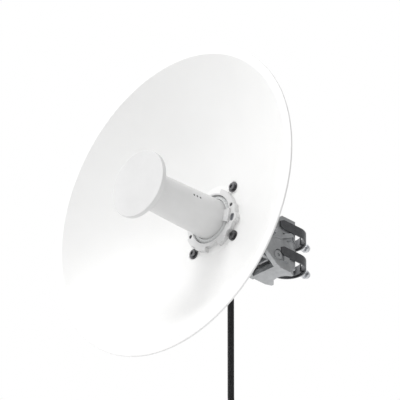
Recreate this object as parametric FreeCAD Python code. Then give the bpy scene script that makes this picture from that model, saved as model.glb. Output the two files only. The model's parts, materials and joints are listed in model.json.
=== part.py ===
import FreeCAD, Part
import math
import os

# Outdoor wireless bridge: a dish antenna whose radio sits in the feed tube, on a tilting
# bracket that clamps to a round pole, with a drop cable hanging from a gland.
# Millimetres. Origin on the pole's axis, midway between the two clamps. +Z is up,
# the dish looks along -Y, and +X is to the right of someone who faces the dish.

V = FreeCAD.Vector

# ---- driving dimensions ----------------------------------------------------------------

# general clearances
RUN_GAP = 0.35        # between two pieces that move past each other
SEAT_GAP = 0.05       # between two pieces that are screwed or pressed together
BOLT_GAP = 0.4        # radial clearance of a screw in a plain hole

# pole and where the dish sits from it
POLE_R = 19.05        # 1.5 inch pole
AXIS_Z = -6.5         # height of the dish axis
PIVOT_Y = -(POLE_R + 23.95)   # hinge line of the tilt bracket
VERTEX_Y = PIVOT_Y - 93.5     # vertex of the paraboloid

# lock ring and the collar round it, as radii from the dish axis
RING_OUTER_R = 35.0
COLLAR_BORE_R = RING_OUTER_R + 0.6
COLLAR_TOP_R = COLLAR_BORE_R + 2.0
COLLAR_NOTCH_R = COLLAR_BORE_R + 4.4
COLLAR_SIDE_R = COLLAR_BORE_R + 8.2
COLLAR_R = COLLAR_BORE_R + 10.9
COLLAR_BUMP_R = COLLAR_BORE_R + 15.4
LATCH_R = COLLAR_BORE_R + 7.2         # centre of the latch button

# dish
DISH_R = 225.0
BOWL_R = 213.0        # inner edge of the flat lip
BOWL_DEPTH = 85.7
DISH_SKIN = 1.8
FLAT_R = COLLAR_BUMP_R + 0.5         # flat centre, under the collar
DISH_HOLE_R = 30.0
LIP_RETURN = 2.4      # depth of the folded edge
LIP_ROUND = 1.2
SEAT_R = 8.5          # pressed flat seats of the dish screws
SEAT_THICK = 3.0
SEAT_RISE = 0.6

# dish screws
SCREW_SPACING = 75.0
SCREW_R = 3.0         # M6
SCREW_HEAD_R = 5.3
SCREW_HEAD_H = 2.8
WASHER_R = 7.4
WASHER_H = 1.4
HEX_KEY_AF = 5.0

# feed tube and cap
TUBE_BASE_R = 29.0
TUBE_TIP_R = 25.75
TUBE_WALL = 2.4
TUBE_FRONT = 146.0    # distance in front of the vertex
TUBE_FLANGE_R = 35.2
TUBE_FLANGE_H = 3.6
CAP_R = 48.5
CAP_THICK = 7.0
CAP_EDGE = 1.6
CAP_SPIGOT = 9.0
KEY_THICK = 3.0       # key at the tube's foot
LED_R = 1.7
LED_PITCH = 5.9
LED_MIDDLE = 65.0
LED_ANGLE = 9.0       # degrees above +X

# collar and lock ring at the tube's base
COLLAR_H = 7.5
COLLAR_FLOOR = 1.6
RING_INNER_R = 29.6
RING_RIBS = 36
RING_H = 5.6
LATCH_ANGLE = -16.5
LATCH_LONG = 10.6
LATCH_WIDE = 6.4
LATCH_TRAVEL = 2.0
SPRING_PAD = 0.4

# rear housing
HOUSING_R = 36.0
HOUSING_WALL = 2.6
HOUSING_SEAL = 0.8
HOUSING_BACK = -44.0  # distance in front of the vertex, so it lies behind it
HOUSING_LUG_AT = 43.5
HOUSING_LUG_R = 4.8
COVER_THICK = 5.0
COVER_SEAL = 0.8
COVER_SCREW_R = 1.5
BUTTON_R = 3.0
BUTTON_TRAVEL = 1.0

# gland and drop cable
GLAND_Y = VERTEX_Y + 27.0
GLAND_BOSS_R = 12.5
GLAND_BODY_AF = 22.0
GLAND_BODY_H = 5.0
GLAND_NUT_R = 10.6
GLAND_NUT_H = 17.0
CABLE_R = 4.5
BOSS_BOTTOM = -41.0   # height of the boss face from the dish axis

# tilt bracket
RING_PLATE_R = 64.0
RING_PLATE_BORE_R = 37.2
RING_PLATE_THICK = 5.0
RING_PLATE_GAP = 1.9  # from the pressed seats back to the ring plate
ARM_X = 40.0          # inner face of the side arms
ARM_THICK = 4.5
ARM_HALF_H = 22.0
BACK_WALL_Y = PIVOT_Y - 41.5   # front face of the bridging wall behind the housing
BACK_WALL_THICK = 4.5
BACK_WALL_TOP = 33.0
BACK_WALL_BOTTOM = -30.0
KNUCKLE_GAP = 0.6     # between a knuckle plate and the bracket's cheek
KNUCKLE_THICK = 5.2
KNUCKLE_LUG_R = 6.5

# hinge of the tilt bracket on the pole bracket, and its lock bolt
PIVOT_Z = -24.0       # from the dish axis
TILT_UP = 15.0        # degrees
TILT_DOWN = 15.0
LOCK_Y = PIVOT_Y - 9.0
LOCK_Z = 11.0         # from the dish axis
PIN_R = 3.0

# pole bracket
SADDLE_WALL = 5.0
SADDLE_ANGLE = 64.0   # half of the arc that lies on the pole, degrees
SADDLE_BOTTOM = -41.0
SADDLE_TOP = 41.0
CHEEK_IN = POLE_R + RUN_GAP   # distance from the middle plane
CHEEK_WALL = 4.8
CHEEK_OUT = CHEEK_IN + CHEEK_WALL
KNUCKLE_OUT = CHEEK_IN - KNUCKLE_GAP
KNUCKLE_IN = KNUCKLE_OUT - KNUCKLE_THICK
HUMP_R = 28.0
HUMP_RISE = 3.2
BLADE_RISE = 2.2
HUMP_OUT = CHEEK_OUT + HUMP_RISE
PIN_POCKET_R = 8.2    # round pockets that sink the hinge bolt and its nut
PIN_POCKET = 4.6
FLOOR_THICK = 3.0
LIP_Y = PIVOT_Y - 2.5 # front edge of the floor plate
LIP_H = 8.0
LIP_THICK = 4.0
EAR_R = 12.0

# clamps
UPPER_CLAMP_Z = 20.5  # from the origin
LOWER_CLAMP_Z = -20.5
STRAP_GAP = 0.7       # between the cheeks and the straps
STRAP_IN_R = CHEEK_OUT + STRAP_GAP
STRAP_THICK = 1.8
STRAP_H = 14.0
STRAP_FRONT_Y = PIVOT_Y + 5.0
HOOK_TIP_X = CHEEK_IN + 0.3
HOOK_HALF_H = 4.0
JACK_R = 3.0
JACK_FLANGE_R = 6.5
JACK_FLANGE_H = 1.6
JACK_HEAD_AF = 10.0
JACK_HEAD_H = 5.0
JACK_TRAVEL = 3.0
PAD_HALF_ANGLE = 26.0
PAD_THICK = 2.3
PAD_H = 12.0
NUT_AF = 10.0
NUT_H = 5.0
JACK_REACH = STRAP_IN_R + STRAP_THICK + NUT_H + JACK_TRAVEL + 0.3   # flange face from the pole's axis

# coil of spare cable, its tie and its plug
COIL_TOP = -313.0     # top of the coil from the dish axis
TAIL_LEN = 38.0       # from the coil's middle height down to the boot
COIL_R = 49.5         # radius at the middle of the turns
PLUG_LONG = 21.5
PLUG_W = 11.7
PLUG_H = 8.3
BOOT_LONG = 17.0
TIE_ANGLE = 250.0     # round the coil, from +X
TIE_HALF = 9.0
TIE_THICK = 1.4

# ---- shape helpers ---------------------------------------------------------------------

def save(name, shape):
    """Write one sub-part, with split faces joined where they are one surface."""
    shape.removeSplitter().exportStep("parts/" + name + ".step")


def box(x, y, z):
    """A block from three (low, high) pairs."""
    block = Part.makeBox(x[1] - x[0], y[1] - y[0], z[1] - z[0])
    block.translate(V(x[0], y[0], z[0]))
    return block


def rod(radius, start, end):
    """A cylinder between two points."""
    start, end = V(*start), V(*end)
    return Part.makeCylinder(radius, (end - start).Length, start, end - start)


def hexagon(across_flats, start, end):
    """A hexagonal bar between two points."""
    start, end = V(*start), V(*end)
    outline = Part.makePolygon(
        [V(across_flats / math.sqrt(3) * math.cos(math.radians(60 * k)),
           across_flats / math.sqrt(3) * math.sin(math.radians(60 * k)), 0) for k in range(7)])
    bar = Part.Face(outline).extrude(V(0, 0, (end - start).Length))
    bar.Placement = FreeCAD.Placement(start, FreeCAD.Rotation(V(0, 0, 1), end - start))
    return bar


def plate(points, low, high, axis):
    """A straight-sided outline extruded between two levels along "x", "y" or "z"."""
    place = {"x": lambda a, b: V(low, a, b), "y": lambda a, b: V(a, low, b),
             "z": lambda a, b: V(a, b, low)}[axis]
    run = {"x": V(high - low, 0, 0), "y": V(0, high - low, 0), "z": V(0, 0, high - low)}[axis]
    corners = [place(a, b) for a, b in points]
    return Part.Face(Part.makePolygon(corners + corners[:1])).extrude(run)


def ahead(distance):
    """The Y of a plane that lies this far in front of the vertex."""
    return VERTEX_Y - distance


def turned(edges):
    """A solid of revolution about the dish axis, from edges drawn at Z = AXIS_Z."""
    face = Part.Face(Part.Wire(edges))
    return face.revolve(V(0, 0, AXIS_Z), V(0, 1, 0), 360)


def turned_profile(points):
    """The same, from straight (radius, distance in front of the vertex) points."""
    corners = [V(r, ahead(d), AXIS_Z) for r, d in points]
    return turned(Part.makePolygon(corners + corners[:1]).Edges)


def tube(outer, inner, back, front):
    """A ring about the dish axis between two distances in front of the vertex."""
    return turned_profile([(inner, back), (outer, back), (outer, front), (inner, front)])


def polar(radius, degrees, distance):
    """A point about the dish axis; the angle runs from +X towards +Z."""
    a = math.radians(degrees)
    return V(radius * math.cos(a), ahead(distance), AXIS_Z + radius * math.sin(a))


def fused(shapes):
    """All shapes as one solid."""
    first, *rest = shapes
    return first.multiFuse(rest) if rest else first


def group(shapes):
    """Separate solids kept together in one node."""
    return Part.makeCompound(shapes)


# ---- dish ------------------------------------------------------------------------------

FOCAL = BOWL_R ** 2 / (4 * BOWL_DEPTH)


def bowl(radius):
    """Depth of the paraboloid at a radius."""
    return radius ** 2 / (4 * FOCAL)


FLAT_D = bowl(FLAT_R)                     # front of the flat centre
SCREW_OFF = SCREW_SPACING / 2
SCREW_RING_R = SCREW_OFF * math.sqrt(2)
SEAT_D = bowl(SCREW_RING_R) + SEAT_RISE   # front of the pressed seats
SEAT_BACK_D = SEAT_D - SEAT_THICK
SCREW_SPOTS = [(x, AXIS_Z + z) for x in (-SCREW_OFF, SCREW_OFF) for z in (-SCREW_OFF, SCREW_OFF)]


def bowl_curve(shift):
    """Half of the bowl's section, moved back by a shift."""
    steps = 12
    radii = [FLAT_R + (BOWL_R - FLAT_R) * k / steps for k in range(steps + 1)]
    curve = Part.BSplineCurve()
    curve.interpolate([V(r, ahead(bowl(r) - shift), AXIS_Z) for r in radii])
    return curve.toShape()


def dish_reflector():
    def point(r, d):
        return V(r, ahead(d), AXIS_Z)

    front, back = BOWL_DEPTH, BOWL_DEPTH - DISH_SKIN
    inner_r = DISH_R - DISH_SKIN
    bend = LIP_ROUND * (1 - math.sqrt(0.5))
    rim = Part.Arc(point(DISH_R - LIP_ROUND, front), point(DISH_R - bend, front - bend),
                   point(DISH_R, front - LIP_ROUND)).toShape()
    outline = [point(DISH_R, front - LIP_ROUND), point(DISH_R, front - LIP_RETURN),
               point(inner_r, front - LIP_RETURN), point(inner_r, back), point(BOWL_R, back)]
    centre = [point(FLAT_R, FLAT_D - DISH_SKIN), point(DISH_HOLE_R, FLAT_D - DISH_SKIN),
              point(DISH_HOLE_R, FLAT_D), point(FLAT_R, FLAT_D)]
    lip = Part.makeLine(point(BOWL_R, front), point(DISH_R - LIP_ROUND, front))
    edges = [lip, rim] + Part.makePolygon(outline).Edges
    edges += [bowl_curve(DISH_SKIN)] + Part.makePolygon(centre).Edges + [bowl_curve(0)]
    skin = turned(Part.sortEdges(edges)[0])
    for x, z in SCREW_SPOTS:
        skin = skin.cut(rod(SEAT_R, (x, ahead(-20), z), (x, ahead(20), z)))
        seat = rod(SEAT_R, (x, ahead(SEAT_BACK_D), z), (x, ahead(SEAT_D), z))
        hole = rod(SCREW_R + BOLT_GAP, (x, ahead(-20), z), (x, ahead(20), z))
        skin = skin.fuse(seat).cut(hole)
    return skin


def dish_screws():
    """Four socket screws from the front into the bosses of the tilt bracket."""
    screws = []
    under = SEAT_D + WASHER_H
    for x, z in SCREW_SPOTS:
        head = rod(SCREW_HEAD_R, (x, ahead(under), z), (x, ahead(under + SCREW_HEAD_H), z))
        head = head.makeChamfer(0.5, [e for e in head.Edges
                                      if abs(e.CenterOfMass.y - ahead(under + SCREW_HEAD_H)) < 0.01])
        socket = hexagon(HEX_KEY_AF, (x, ahead(under + 1.4), z),
                         (x, ahead(under + SCREW_HEAD_H + 1), z))
        shank = rod(SCREW_R, (x, ahead(SEAT_BACK_D - 11), z), (x, ahead(under), z))
        screws.append(head.cut(socket).fuse(shank))
    return group(screws)


def dish_washers():
    washers = []
    for x, z in SCREW_SPOTS:
        disc = rod(WASHER_R, (x, ahead(SEAT_D), z), (x, ahead(SEAT_D + WASHER_H), z))
        washers.append(disc.cut(rod(SCREW_R + 0.2, (x, ahead(0), z), (x, ahead(30), z))))
    return group(washers)


# ---- collar, lock ring and latch at the tube's base ------------------------------------

COLLAR_BACK = FLAT_D
COLLAR_FRONT = FLAT_D + COLLAR_H
RING_BACK = COLLAR_BACK + COLLAR_FLOOR + RUN_GAP
RING_FRONT = RING_BACK + RING_H
COLLAR_SCREW_ANGLES = (11.0, -161.0)
COLLAR_SCREW_AT = COLLAR_BORE_R + 4.4


def sector(radius, start, end, back, front):
    """A slice of a disc about the dish axis between two angles."""
    face = Part.Face(Part.makePolygon([V(0, ahead(back), AXIS_Z), V(radius, ahead(back), AXIS_Z),
                                       V(radius, ahead(front), AXIS_Z), V(0, ahead(front), AXIS_Z),
                                       V(0, ahead(back), AXIS_Z)]))
    # a positive turn about -Y goes from +X towards +Z
    face.rotate(V(0, 0, AXIS_Z), V(0, -1, 0), start)
    return face.revolve(V(0, 0, AXIS_Z), V(0, -1, 0), end - start)


def latch_slot(grow, back, front):
    """The oblong shape of the latch button, which lies along the collar's edge."""
    half = (LATCH_LONG - LATCH_WIDE) / 2
    r = LATCH_WIDE / 2 + grow
    ends = [rod(r, (LATCH_R, ahead(back), s), (LATCH_R, ahead(front), s)) for s in (-half, half)]
    middle = box((LATCH_R - r, LATCH_R + r), (ahead(front), ahead(back)), (-half, half))
    slot = fused([middle] + ends)
    slot.rotate(V(0, 0, 0), V(0, -1, 0), LATCH_ANGLE)
    slot.translate(V(0, 0, AXIS_Z))
    return slot


def feed_collar():
    body = [sector(COLLAR_R, -73, 9, COLLAR_BACK, COLLAR_FRONT),
            sector(COLLAR_SIDE_R, 8, 62, COLLAR_BACK, COLLAR_FRONT),
            sector(COLLAR_TOP_R, 61, 106, COLLAR_BACK, COLLAR_FRONT),
            sector(COLLAR_R, 105, 150, COLLAR_BACK, COLLAR_FRONT),
            sector(COLLAR_SIDE_R, 149, 200, COLLAR_BACK, COLLAR_FRONT),
            sector(COLLAR_R, 199, 256, COLLAR_BACK, COLLAR_FRONT),
            sector(COLLAR_NOTCH_R, 255, 288, COLLAR_BACK, COLLAR_FRONT)]
    bump = polar(LATCH_R, LATCH_ANGLE, COLLAR_BACK)
    bump_r = COLLAR_BUMP_R - LATCH_R
    body.append(Part.makeCylinder(bump_r, COLLAR_H, bump, V(0, -1, 0)))
    collar = fused(body)
    collar = collar.cut(tube(COLLAR_BORE_R, 0.0001, COLLAR_BACK + COLLAR_FLOOR, COLLAR_FRONT + 1))
    collar = collar.cut(Part.makeCylinder(DISH_HOLE_R, 30, V(0, ahead(-10), AXIS_Z), V(0, -1, 0)))
    collar = collar.cut(latch_slot(RUN_GAP, COLLAR_BACK + COLLAR_FLOOR, COLLAR_FRONT + 1))
    for x, z in SCREW_SPOTS:
        collar = collar.cut(rod(SEAT_R + RUN_GAP, (x, ahead(0), z), (x, ahead(40), z)))
    for angle in COLLAR_SCREW_ANGLES:
        spot = polar(COLLAR_SCREW_AT, angle, COLLAR_BACK - 1)
        collar = collar.cut(Part.makeCylinder(1.5 + 0.1, 30, spot, V(0, -1, 0)))
        top = polar(COLLAR_SCREW_AT, angle, COLLAR_FRONT - 2.2)
        collar = collar.cut(Part.makeCylinder(2.8 + 0.1, 30, top, V(0, -1, 0)))
    return collar


def collar_screws():
    """Two small screws in countersunk seats."""
    screws = []
    for angle in COLLAR_SCREW_ANGLES:
        head_at = polar(COLLAR_SCREW_AT, angle, COLLAR_FRONT - 2.2)
        foot = polar(COLLAR_SCREW_AT, angle, COLLAR_BACK + 0.2)
        head = Part.makeCylinder(2.8, 1.5, head_at, V(0, -1, 0))
        slot = hexagon(2.4, head_at + V(0, -0.5, 0), head_at + V(0, -3, 0))
        shank = Part.makeCylinder(1.5, foot.y - head_at.y, foot, V(0, -1, 0))
        screws.append(head.cut(slot).fuse(shank))
    return group(screws)


def lock_ring():
    """A cone-shaped ring with radial ribs round the foot of the tube; it twists to lock it."""
    shoulder = RING_BACK + 1.4
    ring = turned_profile([(RING_INNER_R, RING_BACK), (RING_OUTER_R, RING_BACK),
                           (RING_OUTER_R, shoulder), (RING_INNER_R + 1.0, RING_FRONT),
                           (RING_INNER_R, RING_FRONT)])
    ribs = []
    for k in range(RING_RIBS):
        rib = turned_profile([(RING_INNER_R + 1.6, shoulder - 0.4), (RING_OUTER_R - 0.4, shoulder - 0.4),
                              (RING_OUTER_R - 0.4, shoulder + 1.0), (RING_INNER_R + 1.6, RING_FRONT - 0.02)])
        rib = rib.common(box((0, RING_OUTER_R), (ahead(RING_FRONT), ahead(RING_BACK)),
                             (AXIS_Z - 0.45, AXIS_Z + 0.45)))
        rib.rotate(V(0, 0, AXIS_Z), V(0, -1, 0), 360.0 / RING_RIBS * (k + 0.5))
        ribs.append(rib)
    return fused([ring] + ribs)


def latch_button():
    floor = COLLAR_BACK + COLLAR_FLOOR
    button = latch_slot(0, floor + SPRING_PAD + LATCH_TRAVEL + SEAT_GAP, COLLAR_FRONT - 0.6)
    groove = latch_slot(-1.2, COLLAR_FRONT - 1.3, COLLAR_FRONT + 1)
    return button.cut(groove)


def latch_spring():
    """Flat spring pad under the latch button."""
    floor = COLLAR_BACK + COLLAR_FLOOR
    return latch_slot(-1.4, floor, floor + SPRING_PAD)


# ---- feed tube, cap and what they hold -------------------------------------------------

FLANGE_FRONT = FLAT_D - DISH_SKIN - RUN_GAP
FLANGE_BACK = FLANGE_FRONT - TUBE_FLANGE_H


def tube_r(distance):
    """Outer radius of the tapered tube."""
    share = (distance - FLANGE_FRONT) / (TUBE_FRONT - FLANGE_FRONT)
    return TUBE_BASE_R + (TUBE_TIP_R - TUBE_BASE_R) * share


def led_spots():
    for k in (-1, 0, 1):
        yield LED_MIDDLE + k * LED_PITCH


def radial_rod(radius, inner, outer, distance):
    """A round bar from the dish axis outwards at the lights' angle."""
    start, end = polar(inner, LED_ANGLE, distance), polar(outer, LED_ANGLE, distance)
    return rod(radius, start, end)


def feed_tube():
    body = turned_profile([(TUBE_BASE_R - TUBE_WALL, FLANGE_BACK), (TUBE_FLANGE_R, FLANGE_BACK),
                           (TUBE_FLANGE_R, FLANGE_FRONT), (TUBE_BASE_R, FLANGE_FRONT),
                           (TUBE_TIP_R, TUBE_FRONT), (TUBE_TIP_R - TUBE_WALL, TUBE_FRONT)])
    for distance in led_spots():
        body = body.cut(radial_rod(LED_R, 5, TUBE_BASE_R + 5, distance))
    # key that reaches over the lock ring to the latch
    key_back = RING_FRONT + RUN_GAP
    key = sector(LATCH_R - LATCH_WIDE / 2 - 1.0, LATCH_ANGLE - 11, LATCH_ANGLE + 19, key_back, key_back + KEY_THICK)
    bore = Part.makeCylinder(tube_r(key_back) - 1.0, 40, V(0, ahead(key_back - 5), AXIS_Z), V(0, -1, 0))
    return body.fuse(key.cut(bore))


def led_windows():
    """Three clear windows set a little below the tube's surface."""
    windows = []
    for distance in led_spots():
        outer = tube_r(distance) - 0.25
        windows.append(radial_rod(LED_R - SEAT_GAP, outer - TUBE_WALL + 0.5, outer, distance))
    return group(windows)


def base_seal():
    """Dark ring that closes the seam between the tube and the lock ring."""
    inner = tube_r(RING_BACK - 1.2) + 0.02
    return tube(RING_INNER_R - 0.12, inner, RING_BACK - 1.2, RING_BACK + 1.6)


def feed_cap():
    """Round cap: a disc with softened edges and a spigot inside the tube."""
    back, front = TUBE_FRONT, TUBE_FRONT + CAP_THICK
    bore = TUBE_TIP_R - TUBE_WALL - 0.1
    body = turned_profile([(0, back), (bore - 2.0, back), (bore - 2.0, back - CAP_SPIGOT),
                           (bore, back - CAP_SPIGOT), (bore, back), (CAP_R, back),
                           (CAP_R, front), (0, front)])
    rim = [e for e in body.Edges if abs(e.BoundBox.XLength - 2 * CAP_R) < 0.1]
    return body.makeFillet(CAP_EDGE, rim)


SUB_R = TUBE_TIP_R - TUBE_WALL - 2.6
SUB_BACK = TUBE_FRONT - 7.0


def sub_reflector():
    """Metal splash plate with a central cone that points back at the horn."""
    return turned_profile([(0, TUBE_FRONT - SEAT_GAP), (SUB_R, TUBE_FRONT - SEAT_GAP),
                           (SUB_R, TUBE_FRONT - 1.6), (6, TUBE_FRONT - 1.6), (0, SUB_BACK)])


HORN_R = 18.0
HORN_BACK = 96.0
HORN_FRONT = 133.0


def feed_horn():
    """Round waveguide, closed at the back, with a choke ring at its mouth."""
    return turned_profile([(0, HORN_BACK), (HORN_R, HORN_BACK), (HORN_R, HORN_FRONT - 5),
                           (HORN_R + 3.2, HORN_FRONT - 5), (HORN_R + 3.2, HORN_FRONT),
                           (HORN_R - 2, HORN_FRONT), (HORN_R - 2, HORN_BACK + 3), (0, HORN_BACK + 3)])


def feed_probe():
    """Brass pin and its insulator on the horn's back wall."""
    pin = Part.makeCylinder(1.0, 12, V(0, ahead(HORN_BACK + 3), AXIS_Z + 6), V(0, -1, 0))
    foot = Part.makeCylinder(2.4, 2, V(0, ahead(HORN_BACK + 3), AXIS_Z + 6), V(0, -1, 0))
    return pin.fuse(foot)


PCB_THICK = 1.6
PCB_Z = AXIS_Z - 2.0
PCB_FRONT = HORN_BACK - 1.0
PCB_BACK = HOUSING_BACK + 5
PCB_HALF_W = 20.0


def main_pcb():
    """One long board from the rear housing to the horn."""
    board = box((-PCB_HALF_W, PCB_HALF_W), (ahead(PCB_FRONT), ahead(PCB_BACK)),
                (PCB_Z - PCB_THICK, PCB_Z))
    holes = [rod(1.6, (x, ahead(d), PCB_Z - 5), (x, ahead(d), PCB_Z + 5))
             for x in (-PCB_HALF_W + 4, PCB_HALF_W - 4) for d in (10, PCB_FRONT - 6)]
    return board.cut(group(holes))


def rf_shields():
    """Two pressed cans over the radio and the processor."""
    cans = []
    for back, front, half in ((54, 88, 14), (12, 46, 15)):
        can = box((-half, half), (ahead(front), ahead(back)), (PCB_Z, PCB_Z + 4.5))
        cans.append(can.cut(box((-half + 0.5, half - 0.5), (ahead(front - 0.5), ahead(back + 0.5)),
                                (PCB_Z, PCB_Z + 4.0))))
    return group(cans)


def radio_chips():
    """Processor, radio chip and the three lights' emitters on the board's edge."""
    chips = [box((-7, 7), (ahead(36), ahead(22)), (PCB_Z, PCB_Z + 1.4)),
             box((-5, 5), (ahead(76), ahead(66)), (PCB_Z, PCB_Z + 1.2))]
    chips += [box((PCB_HALF_W - 3.2, PCB_HALF_W - 0.4), (ahead(d + 0.9), ahead(d - 0.9)),
                  (PCB_Z, PCB_Z + 1.2)) for d in led_spots()]
    return group(chips)


def heat_spreader():
    """Finned block under the board, where the processor sits."""
    base = box((-14, 14), (ahead(46), ahead(12)), (PCB_Z - PCB_THICK - 4, PCB_Z - PCB_THICK - 1))
    fins = [box((x - 0.8, x + 0.8), (ahead(46), ahead(12)),
                (PCB_Z - PCB_THICK - 12, PCB_Z - PCB_THICK - 4)) for x in (-12, -6, 0, 6, 12)]
    return fused([base] + fins)


def thermal_pad():
    top = PCB_Z - PCB_THICK
    return box((-9, 9), (ahead(40), ahead(18)), (top - 1, top))


# ---- rear housing, its cover, the button and the gland ---------------------------------

HOUSING_FRONT = FLANGE_BACK - HOUSING_SEAL
COVER_BACK = HOUSING_BACK - COVER_THICK
FIN_BACK = COVER_BACK + 2.2                # the lid's plate, without its fins
PLATE_FRONT = SEAT_BACK_D - RING_PLATE_GAP
PLATE_BACK = PLATE_FRONT - RING_PLATE_THICK
LUG_THICK = 3.0
LUG_ANGLES = (68, 112, 248, 292)
POST_ANGLES = (45, 135, 225, 315)
COVER_SCREW_AT = HOUSING_R - 5.0
BUTTON_ANGLE = -52.0
BUTTON_AT = -20.0
VENT_ANGLE = -128.0


def radial(radius, inner, outer, angle, distance):
    """A round bar that points away from the dish axis."""
    return rod(radius, polar(inner, angle, distance), polar(outer, angle, distance))


def housing_seal():
    return tube(TUBE_FLANGE_R, TUBE_FLANGE_R - 3.4, HOUSING_FRONT, FLANGE_BACK)


def rear_housing():
    """Can behind the dish with lugs, cover posts and a boss for the gland."""
    inner = HOUSING_R - HOUSING_WALL
    parts = [tube(HOUSING_R, inner, HOUSING_BACK, HOUSING_FRONT)]
    for angle in LUG_ANGLES:
        spot = polar(HOUSING_LUG_AT, angle, PLATE_BACK - LUG_THICK)
        pad = Part.makeCylinder(HOUSING_LUG_R, LUG_THICK, spot, V(0, -1, 0))
        web = box((HOUSING_R - 1.5, HOUSING_LUG_AT), (ahead(PLATE_BACK), ahead(PLATE_BACK - LUG_THICK)),
                  (AXIS_Z - HOUSING_LUG_R, AXIS_Z + HOUSING_LUG_R))
        web.rotate(V(0, 0, AXIS_Z), V(0, -1, 0), angle)
        hole = Part.makeCylinder(COVER_SCREW_R + 0.2, 20, spot + V(0, 5, 0), V(0, -1, 0))
        parts.append(pad.fuse(web).cut(hole))
    for angle in POST_ANGLES:
        post = polar(COVER_SCREW_AT, angle, HOUSING_BACK)
        post = Part.makeCylinder(4.0, 12, post, V(0, -1, 0))
        parts.append(post.cut(Part.makeCylinder(COVER_SCREW_R, 9, polar(COVER_SCREW_AT, angle, HOUSING_BACK),
                                                V(0, -1, 0))))
    boss = rod(GLAND_BOSS_R, (0, GLAND_Y, AXIS_Z + BOSS_BOTTOM), (0, GLAND_Y, AXIS_Z - inner + 2))
    core = Part.makeCylinder(inner, 100, V(0, ahead(HOUSING_BACK), AXIS_Z), V(0, -1, 0))
    parts.append(boss.cut(core))
    body = fused(parts)
    body = body.cut(rod(GLAND_THREAD_R, (0, GLAND_Y, AXIS_Z - 60), (0, GLAND_Y, AXIS_Z - 20)))
    body = body.cut(radial(BUTTON_R + RUN_GAP, 20, 60, BUTTON_ANGLE, BUTTON_AT))
    return body.cut(radial(3.0, 20, 60, VENT_ANGLE, BUTTON_AT))


def housing_screws():
    """Four screws that hold the housing's lugs on the bracket's ring."""
    screws = []
    for angle in LUG_ANGLES:
        under = polar(HOUSING_LUG_AT, angle, PLATE_BACK - LUG_THICK)
        head = Part.makeCylinder(2.8, 2.0, under, V(0, 1, 0))
        shank = Part.makeCylinder(COVER_SCREW_R, 7.0, under, V(0, -1, 0))
        socket = hexagon(2.5, under + V(0, 0.8, 0), under + V(0, 4, 0))
        screws.append(head.cut(socket).fuse(shank))
    return group(screws)


def cover_seal():
    return tube(HOUSING_R, HOUSING_R - HOUSING_WALL, HOUSING_BACK - COVER_SEAL, HOUSING_BACK)


def rear_cover():
    """Finned lid on the housing's back."""
    lid = turned_profile([(0, FIN_BACK), (HOUSING_R, FIN_BACK), (HOUSING_R, HOUSING_BACK - COVER_SEAL),
                          (0, HOUSING_BACK - COVER_SEAL)])
    for x in (-18, -12, -6, 0, 6, 12, 18):
        half = math.sqrt((HOUSING_R - 9) ** 2 - x ** 2)
        lid = lid.fuse(box((x - 0.8, x + 0.8), (ahead(FIN_BACK), ahead(COVER_BACK)),
                           (AXIS_Z - half, AXIS_Z + half)))
    for angle in POST_ANGLES:
        spot = polar(COVER_SCREW_AT, angle, COVER_BACK - 1)
        lid = lid.cut(Part.makeCylinder(COVER_SCREW_R + 0.2, 20, spot, V(0, -1, 0)))
    return lid


def cover_screws():
    screws = []
    for angle in POST_ANGLES:
        under = polar(COVER_SCREW_AT, angle, FIN_BACK)
        head = Part.makeCylinder(2.8, 1.8, under, V(0, 1, 0))
        shank = Part.makeCylinder(COVER_SCREW_R - 0.02, 9.0, under, V(0, -1, 0))
        screws.append(head.cut(hexagon(2.5, under + V(0, 0.7, 0), under + V(0, 4, 0))).fuse(shank))
    return group(screws)


def reset_button():
    """Small push button through the housing's lower side, kept in by a shoulder."""
    inner = HOUSING_R - HOUSING_WALL
    stem = radial(BUTTON_R, inner - 2.6, HOUSING_R + 0.6, BUTTON_ANGLE, BUTTON_AT)
    return stem.fuse(radial(BUTTON_R + 1.2, inner - 2.8, inner - 1.4, BUTTON_ANGLE, BUTTON_AT))


def reset_switch():
    """Switch behind the button, a little further in than its travel."""
    inner = HOUSING_R - HOUSING_WALL
    return radial(2.4, inner - 8.0, inner - 2.8 - BUTTON_TRAVEL - 0.3, BUTTON_ANGLE, BUTTON_AT)


def vent_plug():
    """Breather plug beside the gland."""
    stem = radial(3.0 - SEAT_GAP, HOUSING_R - HOUSING_WALL, HOUSING_R + 1, VENT_ANGLE, BUTTON_AT)
    return stem.fuse(radial(4.6, HOUSING_R + 0.35, HOUSING_R + 2.4, VENT_ANGLE, BUTTON_AT))


GLAND_THREAD_R = 8.0
GLAND_FACE = AXIS_Z + BOSS_BOTTOM                    # where the gland seats on the boss
NUT_TOP = GLAND_FACE - GLAND_BODY_H
NUT_MOUTH = NUT_TOP - GLAND_NUT_H
SWING_Z = NUT_MOUTH + 5.0                            # the cable bends about this height
NECK_TOP = SWING_Z + CABLE_R + 0.6


def gland_body():
    collar = hexagon(GLAND_BODY_AF, (0, GLAND_Y, NUT_TOP), (0, GLAND_Y, GLAND_FACE))
    collar = collar.common(rod(GLAND_BODY_AF / 2 + 0.9, (0, GLAND_Y, NUT_TOP), (0, GLAND_Y, GLAND_FACE)))
    thread = rod(GLAND_THREAD_R - SEAT_GAP, (0, GLAND_Y, GLAND_FACE), (0, GLAND_Y, GLAND_FACE + 8))
    bore = rod(CABLE_R + 0.4, (0, GLAND_Y, NUT_TOP - 1), (0, GLAND_Y, GLAND_FACE + 20))
    return collar.fuse(thread).cut(bore)


def gland_seal():
    """Rubber ring squeezed on to the cable inside the nut."""
    ring = rod(GLAND_NUT_R - 2.4, (0, GLAND_Y, NECK_TOP), (0, GLAND_Y, NUT_TOP))
    return ring.cut(rod(CABLE_R + 0.02, (0, GLAND_Y, NECK_TOP - 1), (0, GLAND_Y, NUT_TOP + 1)))


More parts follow.
